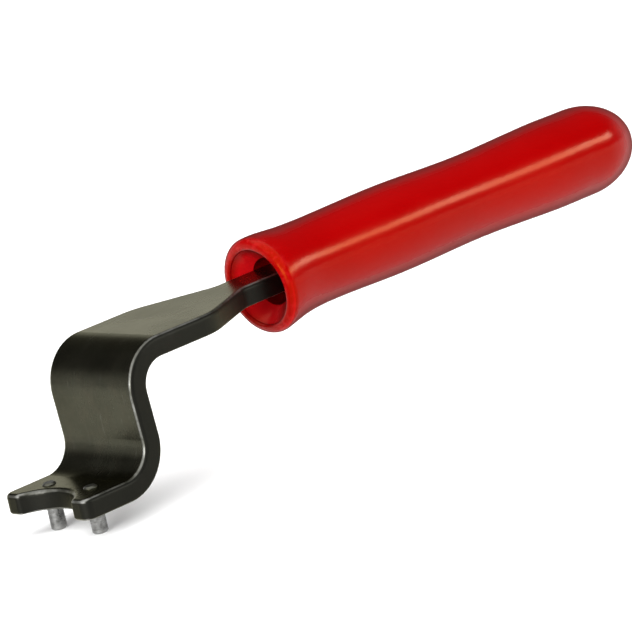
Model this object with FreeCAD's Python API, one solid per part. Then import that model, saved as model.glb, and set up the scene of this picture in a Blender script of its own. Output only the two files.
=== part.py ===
import FreeCAD, Part
import math
import os

# Offset two-pin spanner: a cranked flat steel bar with a forked foot, two shouldered pins
# riveted through the foot, and a moulded grip on the bar's tang.
# The origin is midway between the pins on the foot's underside, where the tool seats.
# +X runs across the bar, +Y along the handle, +Z up. Lengths are in millimetres.

# bar stock; the top edges are rolled over by blanking, the under edges stay sharper
bar_width = 32.0
bar_thickness = 5.3
top_edge_radius = 1.2
under_edge_radius = 0.8

# foot and its crescent notch
foot_front = -8.8
foot_corner_radius = 2.5
notch_half_width = 10.4
notch_depth = 6.3
mouth_radius = 1.5

# crank: foot, riser and shank, all measured on the bar's centreline
lower_bend_start = 5.5
lower_bend_radius = 10.15
upper_bend_radius = 9.35
riser_angle = 92.5
crank_rise = 31.0

# tang, inside the grip
shoulder_start = 43.0
shoulder_end = 62.2
shoulder_radius = 14.0
neck_radius = 6.0
tang_width = 12.0
tang_corner_radius = 1.5
tang_end = 178.0
tang_notch_radius = 1.1
tang_notch_places = (100.0, 112.0, 148.0, 160.0)

# pins: a thick free end below the foot, and a thinner shank through it
pin_spacing = 16.0
pin_radius = 2.0
pin_shank_radius = 1.75
pin_below = 6.2
pin_above = 0.5
pin_chamfer = 0.4

# grip: places are measured along its axis from the front of the lip
grip_front = 71.3
grip_lift = 0.85
grip_droop = 0.5
grip_length = 136.3
lip_radius = 12.9
lip_round = 2.0
lip_flat = 0.1
lip_drop = 1.5
lip_tilt = 4.0
lip_fade = 14
rim_round = 0.8
grip_outline = ((10.0, 11.85), (22.0, 11.35), (48.0, 11.8), (77.0, 11.25), (107.0, 12.1))
grip_end_start = 119.0
grip_end_radius = 12.05
dish_depth = 5.0
hole_radius = 6.4
hole_depth = 11.0

# working values
cut_margin = 1.0
match_distance = 0.01
match_cosine = 0.999999
grip_rings = 32

half_width = bar_width / 2
half_thickness = bar_thickness / 2
shank_height = half_thickness + crank_rise
across = FreeCAD.Vector(1, 0, 0)
along = FreeCAD.Vector(0, 1, 0)
upright = FreeCAD.Vector(0, 0, 1)


def yz_point(place):
    """Point in the plane x = 0."""
    return FreeCAD.Vector(0, place[0], place[1])


def yz_line(start, end):
    """Straight edge in the plane x = 0."""
    return Part.makeLine(yz_point(start), yz_point(end))


def yz_arc(centre, radius, start_angle, end_angle):
    """Arc in the plane x = 0, with angles in degrees from +Y towards +Z."""
    points = []
    for angle in (start_angle, (start_angle + end_angle) / 2, end_angle):
        turn = math.radians(angle)
        y = centre[0] + radius * math.cos(turn)
        z = centre[1] + radius * math.sin(turn)
        points.append(yz_point((y, z)))
    return Part.Arc(*points).toShape()


def bend_centres():
    """Centres of the lower and the upper bend, as (y, z)."""
    lean = math.radians(riser_angle)
    both = lower_bend_radius + upper_bend_radius
    riser = (crank_rise - both * (1 - math.cos(lean))) / math.sin(lean)
    lower = (lower_bend_start, half_thickness + lower_bend_radius)
    upper_y = lower_bend_start + both * math.sin(lean) + riser * math.cos(lean)
    upper = (upper_y, shank_height - upper_bend_radius)
    return lower, upper


def bar_surface(offset):
    """Edges of one broad surface of the bar, foot to tang, at an offset from the centreline."""
    lower, upper = bend_centres()
    foot_z = half_thickness + offset
    shank_z = shank_height + offset
    lower_bend = yz_arc(lower, lower_bend_radius - offset, -90, riser_angle - 90)
    upper_bend = yz_arc(upper, upper_bend_radius + offset, riser_angle + 90, 90)
    foot = yz_line((foot_front, foot_z), (lower_bend_start, foot_z))
    riser = Part.makeLine(lower_bend.Vertexes[1].Point, upper_bend.Vertexes[0].Point)
    shank = yz_line((upper[0], shank_z), (tang_end, shank_z))
    return [foot, lower_bend, riser, upper_bend, shank]


def crank_solid():
    """The bar's side outline, carried across its full width."""
    top = bar_surface(half_thickness)
    under = bar_surface(-half_thickness)
    front = yz_line((foot_front, 0), (foot_front, bar_thickness))
    back = yz_line((tang_end, shank_height - half_thickness), (tang_end, shank_height + half_thickness))
    outline = Part.Wire(Part.__sortEdges__(top + [back] + under + [front]))
    side = Part.Face(outline)
    side.translate(across * -half_width)
    return side.extrude(across * bar_width)


def plan_solid():
    """The bar seen from above: full width, shoulders, then the narrow tang."""
    half_tang = tang_width / 2
    right = [
        (half_width, foot_front),
        (half_width, shoulder_start),
        (half_tang, shoulder_end),
        (half_tang, tang_end),
    ]
    left = [(-x, y) for x, y in reversed(right)]
    corners = [FreeCAD.Vector(x, y, -cut_margin) for x, y in right + left]
    plan = Part.Face(Part.makePolygon(corners + corners[:1]))
    return plan.extrude(upright * (shank_height + bar_thickness + cut_margin))


def notch_tool():
    """Cylinder that cuts the crescent in the front of the foot."""
    radius = (notch_half_width ** 2 + notch_depth ** 2) / (2 * notch_depth)
    centre = FreeCAD.Vector(0, foot_front + notch_depth - radius, -cut_margin)
    return Part.makeCylinder(radius, bar_thickness + 2 * cut_margin, centre)


def runs_along(edge, direction):
    """True for a straight edge parallel to the direction."""
    if not isinstance(edge.Curve, Part.Line):
        return False
    return abs(edge.Curve.Direction.dot(direction)) > match_cosine


def upright_edges(solid, x, y):
    """Vertical edges at both (x, y) and (-x, y)."""
    found = []
    for edge in solid.Edges:
        middle = edge.CenterOfMass
        apart = math.hypot(abs(middle.x) - x, middle.y - y)
        if apart < match_distance and runs_along(edge, upright):
            found.append(edge)
    return found


def round_plan_corners(solid):
    """Round the corners that the plan outline leaves sharp."""
    corners = (
        (half_width, foot_front, foot_corner_radius),
        (notch_half_width, foot_front, mouth_radius),
        (half_width, shoulder_start, shoulder_radius),
        (tang_width / 2, shoulder_end, neck_radius),
        (tang_width / 2, tang_end, tang_corner_radius),
    )
    for x, y, radius in corners:
        solid = solid.makeFillet(radius, upright_edges(solid, x, y))
    return solid


def rim_edges(solid, surface):
    """The edges round one broad surface, without the lines where a bend begins."""
    path = Part.Wire(surface)
    rim = []
    for edge in solid.Edges:
        middle = edge.valueAt((edge.FirstParameter + edge.LastParameter) / 2)
        height = Part.Vertex(yz_point((middle.y, middle.z))).distToShape(path)[0]
        bend_line = runs_along(edge, across) and edge.Length > bar_width - match_distance
        if height < match_distance and not bend_line and not runs_along(edge, upright):
            rim.append(edge)
    return rim


def tang_notches():
    """Half-round notches in both sides of the tang, which hold the moulded grip."""
    tools = []
    for y in tang_notch_places:
        for side in (-1, 1):
            base = FreeCAD.Vector(side * tang_width / 2, y, shank_height - bar_thickness)
            tools.append(Part.makeCylinder(tang_notch_radius, 2 * bar_thickness, base))
    return tools


def pin_axis(side, z):
    """Point on one pin's axis."""
    return FreeCAD.Vector(side * pin_spacing / 2, 0, z)


def pin_holes():
    """Through holes in the foot for the pins' shanks."""
    length = bar_thickness + 2 * cut_margin
    return [Part.makeCylinder(pin_shank_radius, length, pin_axis(side, -cut_margin)) for side in (-1, 1)]


def wrench_bar():
    """The cranked bar with its forked foot, rounded edges, pin holes and tang."""
    bar = crank_solid().common(plan_solid())
    bar = bar.cut(notch_tool()).removeSplitter()
    bar = round_plan_corners(bar.Solids[0])
    bar = bar.makeFillet(top_edge_radius, rim_edges(bar, bar_surface(half_thickness)))
    bar = bar.makeFillet(under_edge_radius, rim_edges(bar, bar_surface(-half_thickness)))
    return bar.cut(tang_notches() + pin_holes()).Solids[0]


def drive_pin(side):
    """A shouldered pin with chamfered ends, its shank a little proud of the foot's top."""
    free_end = Part.makeCylinder(pin_radius, pin_below, pin_axis(side, -pin_below))
    shank = Part.makeCylinder(pin_shank_radius, bar_thickness + pin_above, pin_axis(side, 0))
    pin = free_end.fuse(shank).Solids[0]
    ends = []
    for edge in pin.Edges:
        height = edge.CenterOfMass.z
        if min(abs(height + pin_below), abs(height - bar_thickness - pin_above)) < match_distance:
            ends.append(edge)
    return pin.makeChamfer(pin_chamfer, ends)


def ring_place(place):
    """Centre and facing of the grip's cross-section, which sinks and tilts towards the lip."""
    share = (1 - place / grip_end_start) ** lip_fade
    centre = FreeCAD.Vector(0, place, -lip_drop * share)
    tilt = math.radians(lip_tilt * share)
    return centre, FreeCAD.Vector(0, math.cos(tilt), math.sin(tilt))


def grip_barrel():
    """The grip from its flat front to the start of its domed end, lofted through circles."""
    stations = [(0, lip_radius)] + list(grip_outline) + [(grip_end_start, grip_end_radius)]
    curve = Part.BSplineCurve()
    curve.interpolate(
        Points=[yz_point(station) for station in stations],
        InitialTangent=along,
        FinalTangent=along,
    )
    rings = []
    for point in curve.discretize(grip_rings):
        rings.append(Part.Wire(Part.makeCircle(point.z, *ring_place(point.y))))
    return Part.makeLoft(rings, True)


def turned(edges):
    """Solid turned about the grip's axis from the edges of a closed outline."""
    outline = Part.Wire(Part.__sortEdges__(edges))
    return Part.Face(outline).revolve(FreeCAD.Vector(0, 0, 0), along, 360)


def grip_dome():
    """The grip's domed end, half an ellipsoid that runs on smoothly from the barrel."""
    tip = yz_point((grip_length, 0))
    side = yz_point((grip_end_start, grip_end_radius))
    middle = yz_point((grip_end_start, 0))
    return turned([
        Part.Ellipse(tip, side, middle).toShape(0, math.pi / 2),
        Part.makeLine(side, middle),
        Part.makeLine(middle, tip),
    ])


def mouth_tool():
    """The conical dish and the hole that open the grip's front, about the lip's own axis."""
    rim_radius = lip_radius - lip_round - lip_flat
    bow = rim_round * math.sqrt(0.5)
    rim_points = [(0, rim_radius), (rim_round - bow, rim_radius - bow), (rim_round, rim_radius - rim_round)]
    tool = turned([
        yz_line((0, rim_radius), (0, 0)),
        Part.Arc(*[yz_point(point) for point in rim_points]).toShape(),
        yz_line((rim_round, rim_radius - rim_round), (dish_depth, hole_radius)),
        yz_line((dish_depth, hole_radius), (hole_depth, hole_radius)),
        yz_line((hole_depth, hole_radius), (hole_depth, 0)),
        yz_line((hole_depth, 0), (0, 0)),
    ])
    tool.rotate(FreeCAD.Vector(0, 0, 0), across, lip_tilt)
    tool.translate(ring_place(0)[0])
    return tool


def grip_body():
    """The grip with a rounded lip, a dished mouth and a domed end, in its place."""
    barrel = grip_barrel()
    lip = [edge for edge in barrel.Edges if abs(edge.CenterOfMass.y) < match_distance]
    body = barrel.makeFillet(lip_round, lip).fuse(grip_dome()).cut(mouth_tool())
    body.rotate(FreeCAD.Vector(0, 0, 0), across, -grip_droop)
    body.translate(FreeCAD.Vector(0, grip_front, shank_height + grip_lift))
    return body


def grip(bar):
    """The moulded grip, closed round the tang."""
    return grip_body().cut(bar).Solids[0]


def save(name, shape):
    """Write one sub-part after checking that it is a single sound solid."""
    if not shape.isValid() or len(shape.Solids) != 1:
        raise ValueError(name + " is not one valid solid")
    shape.Solids[0].exportStep("parts/" + name + ".step")
    print(name, "volume", round(shape.Volume, 1), "box", shape.BoundBox)


os.makedirs("parts", exist_ok=True)
bar_shape = wrench_bar()
save("wrench_bar", bar_shape)
save("pin_left", drive_pin(-1))
save("pin_right", drive_pin(1))
save("grip", grip(bar_shape))
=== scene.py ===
import math

import bpy
from mathutils import Matrix, Vector


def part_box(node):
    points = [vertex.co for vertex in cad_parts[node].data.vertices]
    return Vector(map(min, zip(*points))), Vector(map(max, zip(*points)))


BAR_NODE = "wrench_bar"
PIN_NODES = ("pin_left", "pin_right")
GRIP_NODE = "grip"

# camera: degrees turned from -Y towards +X, raised above the horizon and rolled about its own
# axis; distance, reach and aim in metres, lens and sensor in millimetres
CAMERA_AZIMUTH = 49.87
CAMERA_ELEVATION = 12.81
CAMERA_ROLL = -12.68
CAMERA_DISTANCE = 1.15
CAMERA_REACH = 50.0
CAMERA_LENS = 256.65
SENSOR_WIDTH = 36.0
CAMERA_AIM = (0.00948, 0.08127, 0.02166)

# studio surroundings: brightness near the horizon and overhead, and the share of it that is left
# towards +X; each fade lies between two values of the direction's Z or X
WORLD_COLOR = (1, 1, 1, 1)
WORLD_LOW = 1.15
WORLD_HIGH = 0.1
WORLD_FADE = (0.13, 0.48)
WORLD_RIGHT = 0.15
WORLD_SIDE = (0.15, 0.5)

# wide distant light: direction, spread in degrees, strength
SKY_TOWARD = (0.2, -0.35, 0.92)
SKY_SPREAD = 100
SKY_STRENGTH = 5.0

# rectangular lights: name, direction from the aim, distance, width, height, radiance
SOFTBOXES = (
    ("streak", (0.705, 0.613, 0.28), 1.3, 0.9, 0.2, 24),
    ("window", (0.76, -0.6, 0.33), 1.6, 0.7, 0.7, 1.0),
    ("front", (0.3, -0.93, 0.15), 1.5, 0.9, 0.4, 20),
)

FLOOR_RADIUS = 12.0
FLOOR_SIDES = 96

# base colours, linear
OXIDE_DARK = (0.028, 0.028, 0.021, 1)
OXIDE_LIGHT = (0.043, 0.043, 0.032, 1)
OXIDE_BROWN = (0.052, 0.046, 0.034, 1)
OXIDE_RUBBED = (0.12, 0.12, 0.105, 1)
OXIDE_CUT = (0.008, 0.008, 0.007, 1)
EDGE_STEEL = (0.22, 0.22, 0.21, 1)
STEEL_GLANCE = (0.9, 0.88, 0.72, 1)
PIN_LIGHT = (0.18, 0.18, 0.175, 1)
PIN_DARK = (0.085, 0.085, 0.08, 1)
PIN_WORN = (0.34, 0.34, 0.33, 1)
RED_DEEP = (0.185, 0.0002, 0.0005, 1)
RED_BRIGHT = (0.205, 0.0003, 0.0007, 1)
# wear and painted sheen: a lighter red at the lip, partly worn by rubbing, partly a painted sheen and
# mottled highlight
RED_RUB_AND_SHEEN = (0.31, 0.006, 0.009, 1)
# painted light: a lighter red laid into the mouth's recessed dish to brighten its shade
RED_DISH_PAINTED_LIGHT = (0.4, 0.003, 0.005, 1)
# painted shade: the dark red laid on where the surface turns from view, towards the silhouette
RED_SHADED = (0.05, 0.0, 0.001, 1)
RED_GLANCE = (1.0, 0.36, 0.03, 1)
PAPER_DARK = (0.94, 0.94, 0.94, 1)
PAPER_LIGHT = (0.97, 0.97, 0.97, 1)

# how much of a colour shows where its mask is full
BROWN_SHARE = 0.35
SCUFF_SHARE = 0.3
CUT_SHARE = 0.9
TIP_SHARE = 0.6
RIVET_SHARE = 0.85
RUB_AND_SHEEN_SHARE = 0.4
SHADED_SHARE = 0.75

# how strongly the red plastic's surface mirrors what is in front of it
RED_SPECULAR = 0.12

# roughness: a pair varies with a pattern, a single value is added under a mask or pattern
OXIDE_ROUGH = (0.2, 0.27)
GRAIN_ROUGH = 0.06
CUT_ROUGH = 0.2
EDGE_ROUGH = 0.15
PIN_ROUGH = (0.2, 0.32)
RIVET_ROUGH = 0.2
RED_ROUGH = (0.16, 0.22)
RUB_ROUGH = 0.15
SHADED_ROUGH = 0.5
PAPER_ROUGH = 0.8

# pattern scales, in noise cells per metre; a stretched pattern has one for each of X, Y and Z
STAIN_SCALE = 38.0
MOTTLE_SCALE = 260.0
GRAIN_STRETCH = (1600.0, 60.0, 60.0)
SCUFF_STRETCH = (500.0, 90.0, 90.0)
RING_STRETCH = (30.0, 30.0, 2600.0)
SPOT_SCALE = 900.0
CLOUD_SCALE = 30.0
RIPPLE_SCALE = 110.0
PEEL_SCALE = 1500.0
RUB_AND_SHEEN_SCALE = 420.0
PAPER_SCALE = 3.0
TOOTH_SCALE = 800.0

# the values of a pattern between which its effect goes from none to full
WIDE_BAND = (0.3, 0.7)
STAIN_BAND = (0.35, 0.65)
BROWN_BAND = (0.4, 0.7)
SCUFF_BAND = (0.6, 0.72)
SPOT_BAND = (0.35, 0.7)
RUB_AND_SHEEN_BAND = (0.45, 0.65)

# the bar's worn edges are patchy: a band of the mottle or the stain, and the wear at its two ends
FINE_WEAR_BAND = (0.3, 0.6)
FINE_WEAR = (0.2, 0.9)
BROAD_WEAR_BAND = (0.4, 0.6)
BROAD_WEAR = (0.3, 1.0)

# bump heights in metres, and how strongly they show
GRAIN_HEIGHT = 0.00002
MOTTLE_HEIGHT = 0.00004
RING_HEIGHT = 0.00001
RIPPLE_HEIGHT = 0.00012
PEEL_HEIGHT = 0.000008
TOOTH_HEIGHT = 0.0001
BUMP_STRENGTH = 0.5
RING_STRENGTH = 0.4
TOOTH_STRENGTH = 0.1

# how far sideways a bar surface faces where a cut side begins, and where a worn edge rises and falls
CUT_RISE = (0.55, 0.75)
EDGE_RISE = (0.12, 0.3)
EDGE_FALL = (0.75, 0.5)

# places in the part's frame, in metres: the foot's front and notch faces have a Y below the first,
# and the pins' wear begins and is full at the two Z values
FOOT_FACES_END = -0.002
PIN_WEAR = (-0.0045, -0.006)

# grip, in metres behind its front: where the rub and its painted sheen end, and where the dish's
# painted light begins and is full; then how the dish's wall faces along Y, and how far a surface turns
# from view where painted shade darkens it
LIP_RUB_AND_SHEEN_LENGTH = 0.005
DISH_START = 0.0012
DISH_FULL = 0.003
DISH_FACING = (-0.3, -0.5)
TURNED_AWAY = (0.45, 0.85)

# a colour Mix node's sockets by place, because their names repeat
MIX_FIRST = 6
MIX_SECOND = 7
MIX_RESULT = 2


class Shader:
    """A material's node tree, with short ways to add nodes and join them."""

    def __init__(self, name):
        self.material = bpy.data.materials.new(name)
        self.material.use_nodes = True
        self.tree = self.material.node_tree
        self.tree.nodes.clear()
        self.surface = self.node("ShaderNodeBsdfPrincipled")
        output = self.node("ShaderNodeOutputMaterial")
        self.link(self.surface.outputs["BSDF"], output.inputs["Surface"])

    def node(self, kind, **settings):
        made = self.tree.nodes.new(kind)
        for key, value in settings.items():
            setattr(made, key, value)
        return made

    def link(self, source, target):
        """Join an output socket to the target, or set the target to a plain value."""
        if isinstance(source, bpy.types.NodeSocket):
            self.tree.links.new(source, target)
        else:
            target.default_value = source

    def give(self, name, source):
        """Link or set one of the surface's own sockets."""
        self.link(source, self.surface.inputs[name])

    def object_place(self):
        return self.node("ShaderNodeTexCoord").outputs["Object"]

    def object_normal(self):
        return self.node("ShaderNodeTexCoord").outputs["Normal"]

    def split(self, vector):
        parts = self.node("ShaderNodeSeparateXYZ")
        self.link(vector, parts.inputs[0])
        return parts.outputs

    def stretch(self, vector, scale):
        mapping = self.node("ShaderNodeMapping")
        self.link(vector, mapping.inputs["Vector"])
        mapping.inputs["Scale"].default_value = scale
        return mapping.outputs["Vector"]

    def noise(self, vector, scale=1.0, detail=4.0, roughness=0.55):
        noise = self.node("ShaderNodeTexNoise")
        self.link(vector, noise.inputs["Vector"])
        noise.inputs["Scale"].default_value = scale
        noise.inputs["Detail"].default_value = detail
        noise.inputs["Roughness"].default_value = roughness
        return noise.outputs["Fac"]

    def math(self, operation, first, second=0.0):
        made = self.node("ShaderNodeMath", operation=operation)
        for socket, value in zip(made.inputs, (first, second)):
            self.link(value, socket)
        return made.outputs[0]

    def times(self, first, second):
        return self.math("MULTIPLY", first, second)

    def raised(self, value, mask, amount):
        """The value with an amount added under a mask."""
        return self.math("ADD", value, self.times(mask, amount))

    def span(self, value, start, end, low=0.0, high=1.0):
        """A smooth change from low to high while the value goes from start to end."""
        made = self.node("ShaderNodeMapRange", interpolation_type="SMOOTHSTEP")
        amounts = {"Value": value, "From Min": start, "From Max": end, "To Min": low, "To Max": high}
        for key, amount in amounts.items():
            self.link(amount, made.inputs[key])
        return made.outputs[0]

    def mix(self, factor, first, second):
        made = self.node("ShaderNodeMix", data_type="RGBA")
        for key, value in (("Factor", factor), (MIX_FIRST, first), (MIX_SECOND, second)):
            self.link(value, made.inputs[key])
        return made.outputs[MIX_RESULT]

    def bump(self, pattern, height, strength, normal=None):
        made = self.node("ShaderNodeBump")
        made.inputs["Strength"].default_value = strength
        made.inputs["Distance"].default_value = height
        self.link(pattern, made.inputs["Height"])
        if normal is not None:
            self.link(normal, made.inputs["Normal"])
        return made.outputs["Normal"]


def blackened_steel(pin_top):
    """Dark oxide with a rolled grain along the bar, near-black cut sides and edges worn lighter."""
    shader = Shader("blackened_steel")
    place = shader.object_place()
    place_parts = shader.split(place)
    normal_parts = shader.split(shader.object_normal())

    # the foot's front and notch faces stand upright; everywhere else the cut sides face along X
    in_foot = shader.math("LESS_THAN", place_parts["Z"], pin_top)
    at_front = shader.math("LESS_THAN", place_parts["Y"], FOOT_FACES_END)
    upright = shader.math("SUBTRACT", 1.0, shader.math("ABSOLUTE", normal_parts["Z"]))
    foot_side = shader.times(shader.times(in_foot, at_front), upright)
    sideways = shader.math("MAXIMUM", shader.math("ABSOLUTE", normal_parts["X"]), foot_side)
    cut_face = shader.span(sideways, *CUT_RISE)
    edge = shader.times(shader.span(sideways, *EDGE_RISE), shader.span(sideways, *EDGE_FALL))

    stain = shader.noise(place, STAIN_SCALE, detail=6.0, roughness=0.6)
    mottle = shader.noise(place, MOTTLE_SCALE, detail=5.0, roughness=0.65)
    grain = shader.noise(shader.stretch(place, GRAIN_STRETCH), detail=3.0)
    scuff = shader.span(shader.noise(shader.stretch(place, SCUFF_STRETCH), roughness=0.7), *SCUFF_BAND)

    oxide = shader.mix(shader.span(stain, *STAIN_BAND), OXIDE_DARK, OXIDE_LIGHT)
    oxide = shader.mix(shader.span(mottle, *BROWN_BAND, high=BROWN_SHARE), oxide, OXIDE_BROWN)
    oxide = shader.mix(shader.times(scuff, SCUFF_SHARE), oxide, OXIDE_RUBBED)
    oxide = shader.mix(shader.times(cut_face, CUT_SHARE), oxide, OXIDE_CUT)
    worn = shader.times(edge, shader.span(mottle, *FINE_WEAR_BAND, *FINE_WEAR))
    worn = shader.times(worn, shader.span(stain, *BROAD_WEAR_BAND, *BROAD_WEAR))
    shader.give("Base Color", shader.mix(worn, oxide, EDGE_STEEL))
    shader.give("Metallic", 1.0)
    shader.give("Specular Tint", STEEL_GLANCE)

    rough = shader.span(stain, *WIDE_BAND, *OXIDE_ROUGH)
    rough = shader.raised(rough, grain, GRAIN_ROUGH)
    rough = shader.raised(rough, cut_face, CUT_ROUGH)
    shader.give("Roughness", shader.raised(rough, edge, EDGE_ROUGH))
    bumped = shader.bump(grain, GRAIN_HEIGHT, BUMP_STRENGTH)
    shader.give("Normal", shader.bump(mottle, MOTTLE_HEIGHT, BUMP_STRENGTH, bumped))
    return shader.material


def ground_steel(pin_top):
    """Ground pins with faint turning rings and worn tips, dulled by oxide at the riveted tops."""
    shader = Shader("ground_steel")
    place = shader.object_place()
    height = shader.split(place)["Z"]
    rings = shader.noise(shader.stretch(place, RING_STRETCH), detail=3.0)
    spots = shader.noise(place, SPOT_SCALE)
    riveted = shader.math("GREATER_THAN", height, pin_top / 2)
    tip = shader.span(height, *PIN_WEAR)

    steel = shader.mix(shader.span(spots, *SPOT_BAND), PIN_LIGHT, PIN_DARK)
    steel = shader.mix(shader.times(tip, TIP_SHARE), steel, PIN_WORN)
    shader.give("Base Color", shader.mix(shader.times(riveted, RIVET_SHARE), steel, OXIDE_LIGHT))
    shader.give("Metallic", 1.0)

    rough = shader.span(rings, *WIDE_BAND, *PIN_ROUGH)
    shader.give("Roughness", shader.raised(rough, riveted, RIVET_ROUGH))
    shader.give("Normal", shader.bump(rings, RING_HEIGHT, RING_STRENGTH))
    return shader.material


def red_plastic(grip_front):
    """Glossy moulded plastic, faintly uneven: worn by rubbing at the lip with painted sheen there,
    painted light in the mouth's dish, and painted shade, darker and duller, where the surface turns
    away from view."""
    shader = Shader("red_plastic")
    place = shader.object_place()
    y = shader.split(place)["Y"]
    normal_y = shader.split(shader.object_normal())["Y"]
    cloud = shader.noise(place, CLOUD_SCALE)
    ripple = shader.noise(place, RIPPLE_SCALE, detail=2.0)
    peel = shader.noise(place, PEEL_SCALE, detail=2.0)
    rub_and_sheen_field = shader.noise(place, RUB_AND_SHEEN_SCALE, detail=5.0, roughness=0.7)
    # the lip's rub is partly real wear and partly painted sheen that lightens the lip
    at_lip = shader.span(y, grip_front + LIP_RUB_AND_SHEEN_LENGTH, grip_front)
    rub_and_sheen = shader.times(at_lip, shader.span(rub_and_sheen_field, *RUB_AND_SHEEN_BAND))
    # painted light: the dish's wall behind the lip gets a lighter red
    behind_lip = shader.span(y, grip_front + DISH_START, grip_front + DISH_FULL)
    dish_painted_light = shader.times(behind_lip, shader.span(normal_y, *DISH_FACING))
    # painted shade: the Layer Weight facing darkens the red and dulls it towards the silhouette
    facing = shader.node("ShaderNodeLayerWeight").outputs["Facing"]
    painted_edge_shade = shader.span(facing, *TURNED_AWAY)

    red = shader.mix(shader.span(cloud, *WIDE_BAND), RED_DEEP, RED_BRIGHT)
    # wear with painted sheen: the lighter red at the lip
    red = shader.mix(shader.times(rub_and_sheen, RUB_AND_SHEEN_SHARE), red, RED_RUB_AND_SHEEN)
    # painted light in the mouth's dish
    red = shader.mix(dish_painted_light, red, RED_DISH_PAINTED_LIGHT)
    # painted shade laid over the red where the surface turns from view
    shader.give("Base Color", shader.mix(shader.times(painted_edge_shade, SHADED_SHARE), red, RED_SHADED))
    shader.give("Specular IOR Level", RED_SPECULAR)
    shader.give("Specular Tint", RED_GLANCE)

    rough = shader.span(cloud, *WIDE_BAND, *RED_ROUGH)
    rough = shader.raised(rough, rub_and_sheen, RUB_ROUGH)
    shader.give("Roughness", shader.raised(rough, painted_edge_shade, SHADED_ROUGH))
    bumped = shader.bump(ripple, RIPPLE_HEIGHT, BUMP_STRENGTH)
    shader.give("Normal", shader.bump(peel, PEEL_HEIGHT, BUMP_STRENGTH, bumped))
    return shader.material


def floor_material():
    """Plain white studio paper."""
    shader = Shader("studio_floor")
    place = shader.object_place()
    shader.give("Base Color", shader.mix(shader.noise(place, PAPER_SCALE), PAPER_DARK, PAPER_LIGHT))
    shader.give("Roughness", PAPER_ROUGH)
    shader.give("Normal", shader.bump(shader.noise(place, TOOTH_SCALE), TOOTH_HEIGHT, TOOTH_STRENGTH))
    return shader.material


def finish_node(node, material):
    """Give one CAD node its material."""
    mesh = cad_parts[node].data
    mesh.materials.clear()
    mesh.materials.append(material)


def finish_part():
    """Give every CAD node its material, with places taken from the nodes' own boxes."""
    # the pins' riveted tops stand just above the foot
    pin_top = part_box(PIN_NODES[0])[1].z
    finish_node(BAR_NODE, blackened_steel(pin_top))
    pin_finish = ground_steel(pin_top)
    for pin in PIN_NODES:
        finish_node(pin, pin_finish)
    finish_node(GRIP_NODE, red_plastic(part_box(GRIP_NODE)[0].y))


def place_in_scene(name, data):
    """A new object in the scene for a camera's or a light's data."""
    made = bpy.data.objects.new(name, data)
    bpy.context.scene.collection.objects.link(made)
    return made


def view_axes():
    """The camera's right, up and back directions, from its azimuth, elevation and roll."""
    azimuth = math.radians(CAMERA_AZIMUTH)
    elevation = math.radians(CAMERA_ELEVATION)
    roll = math.radians(CAMERA_ROLL)
    level = math.cos(elevation)
    back = Vector((math.sin(azimuth) * level, -math.cos(azimuth) * level, math.sin(elevation)))
    right = Vector((math.cos(azimuth), math.sin(azimuth), 0.0))
    up = back.cross(right)
    turned_right = right * math.cos(roll) + up * math.sin(roll)
    turned_up = up * math.cos(roll) - right * math.sin(roll)
    return turned_right, turned_up, back


def add_camera():
    data = bpy.data.cameras.new("camera")
    data.lens = CAMERA_LENS
    data.sensor_width = SENSOR_WIDTH
    data.clip_end = CAMERA_REACH
    camera = place_in_scene("camera", data)
    right, up, back = view_axes()
    turn = Matrix((right, up, back)).transposed().to_4x4()
    camera.matrix_world = Matrix.Translation(Vector(CAMERA_AIM) + back * CAMERA_DISTANCE) @ turn
    bpy.context.scene.camera = camera


def light_turn(direction):
    """Rotation of a light that shines from a direction towards the object."""
    return direction.to_track_quat("Z", "Y").to_euler()


def add_softbox(name, toward, distance, width, height, radiance):
    """A rectangular light of a given brightness, in a direction from the camera's aim."""
    data = bpy.data.lights.new(name, "AREA")
    data.shape = "RECTANGLE"
    data.size = width
    data.size_y = height
    data.energy = radiance * math.pi * width * height
    light = place_in_scene(name, data)
    direction = Vector(toward).normalized()
    light.location = Vector(CAMERA_AIM) + direction * distance
    light.rotation_euler = light_turn(direction)


def add_sky_light():
    """A wide distant light, which lights the whole floor evenly."""
    data = bpy.data.lights.new("sky_light", "SUN")
    data.energy = SKY_STRENGTH
    data.angle = math.radians(SKY_SPREAD)
    light = place_in_scene("sky_light", data)
    light.rotation_euler = light_turn(Vector(SKY_TOWARD).normalized())


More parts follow.
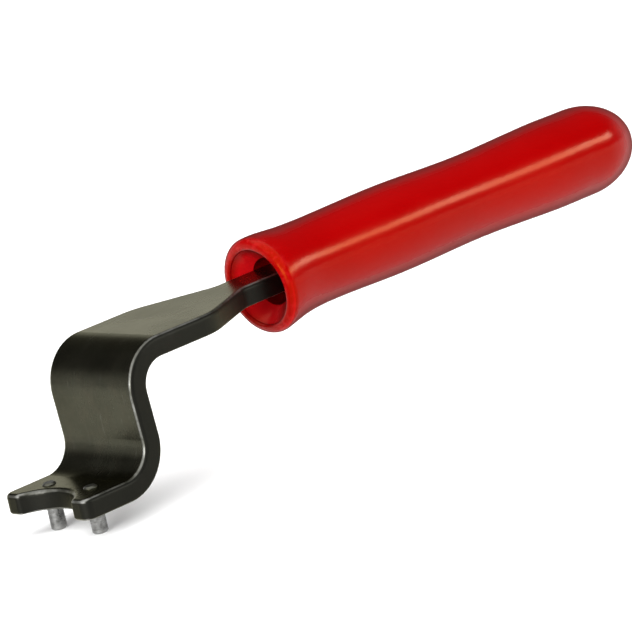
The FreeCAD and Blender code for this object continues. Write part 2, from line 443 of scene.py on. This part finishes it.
def add_floor():
    """A round sheet of paper that the pins stand on."""
    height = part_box(PIN_NODES[0])[0].z
    bpy.ops.mesh.primitive_circle_add(
        vertices=FLOOR_SIDES, radius=FLOOR_RADIUS, fill_type="NGON", location=(0, 0, height)
    )
    floor = bpy.context.object
    floor.name = "floor"
    floor.data.materials.append(floor_material())


def add_world():
    """Bright near the horizon and dark overhead, and dimmer towards +X."""
    world = bpy.data.worlds.new("studio")
    world.use_nodes = True
    nodes = world.node_tree.nodes
    links = world.node_tree.links
    place = nodes.new("ShaderNodeTexCoord")
    parts = nodes.new("ShaderNodeSeparateXYZ")
    strength = nodes.new("ShaderNodeMath")
    strength.operation = "MULTIPLY"
    links.new(place.outputs["Generated"], parts.inputs[0])
    spans = (("Z", WORLD_FADE, (WORLD_LOW, WORLD_HIGH)), ("X", WORLD_SIDE, (1.0, WORLD_RIGHT)))
    for target, (axis, where, amounts) in zip(strength.inputs, spans):
        fade = nodes.new("ShaderNodeMapRange")
        fade.interpolation_type = "SMOOTHSTEP"
        for name, value in zip(("From Min", "From Max", "To Min", "To Max"), where + amounts):
            fade.inputs[name].default_value = value
        links.new(parts.outputs[axis], fade.inputs["Value"])
        links.new(fade.outputs[0], target)
    background = nodes["Background"]
    links.new(strength.outputs[0], background.inputs["Strength"])
    background.inputs["Color"].default_value = WORLD_COLOR
    bpy.context.scene.world = world


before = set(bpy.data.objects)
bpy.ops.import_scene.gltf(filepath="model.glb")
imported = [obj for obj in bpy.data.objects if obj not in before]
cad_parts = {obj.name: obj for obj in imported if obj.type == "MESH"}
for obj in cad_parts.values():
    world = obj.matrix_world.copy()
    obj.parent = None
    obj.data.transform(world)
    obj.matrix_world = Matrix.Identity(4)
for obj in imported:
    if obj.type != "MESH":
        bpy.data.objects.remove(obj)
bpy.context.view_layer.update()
finish_part()
add_camera()
add_floor()
add_world()
add_sky_light()
for softbox in SOFTBOXES:
    add_softbox(*softbox)
bpy.context.scene.view_settings.view_transform = "Standard"
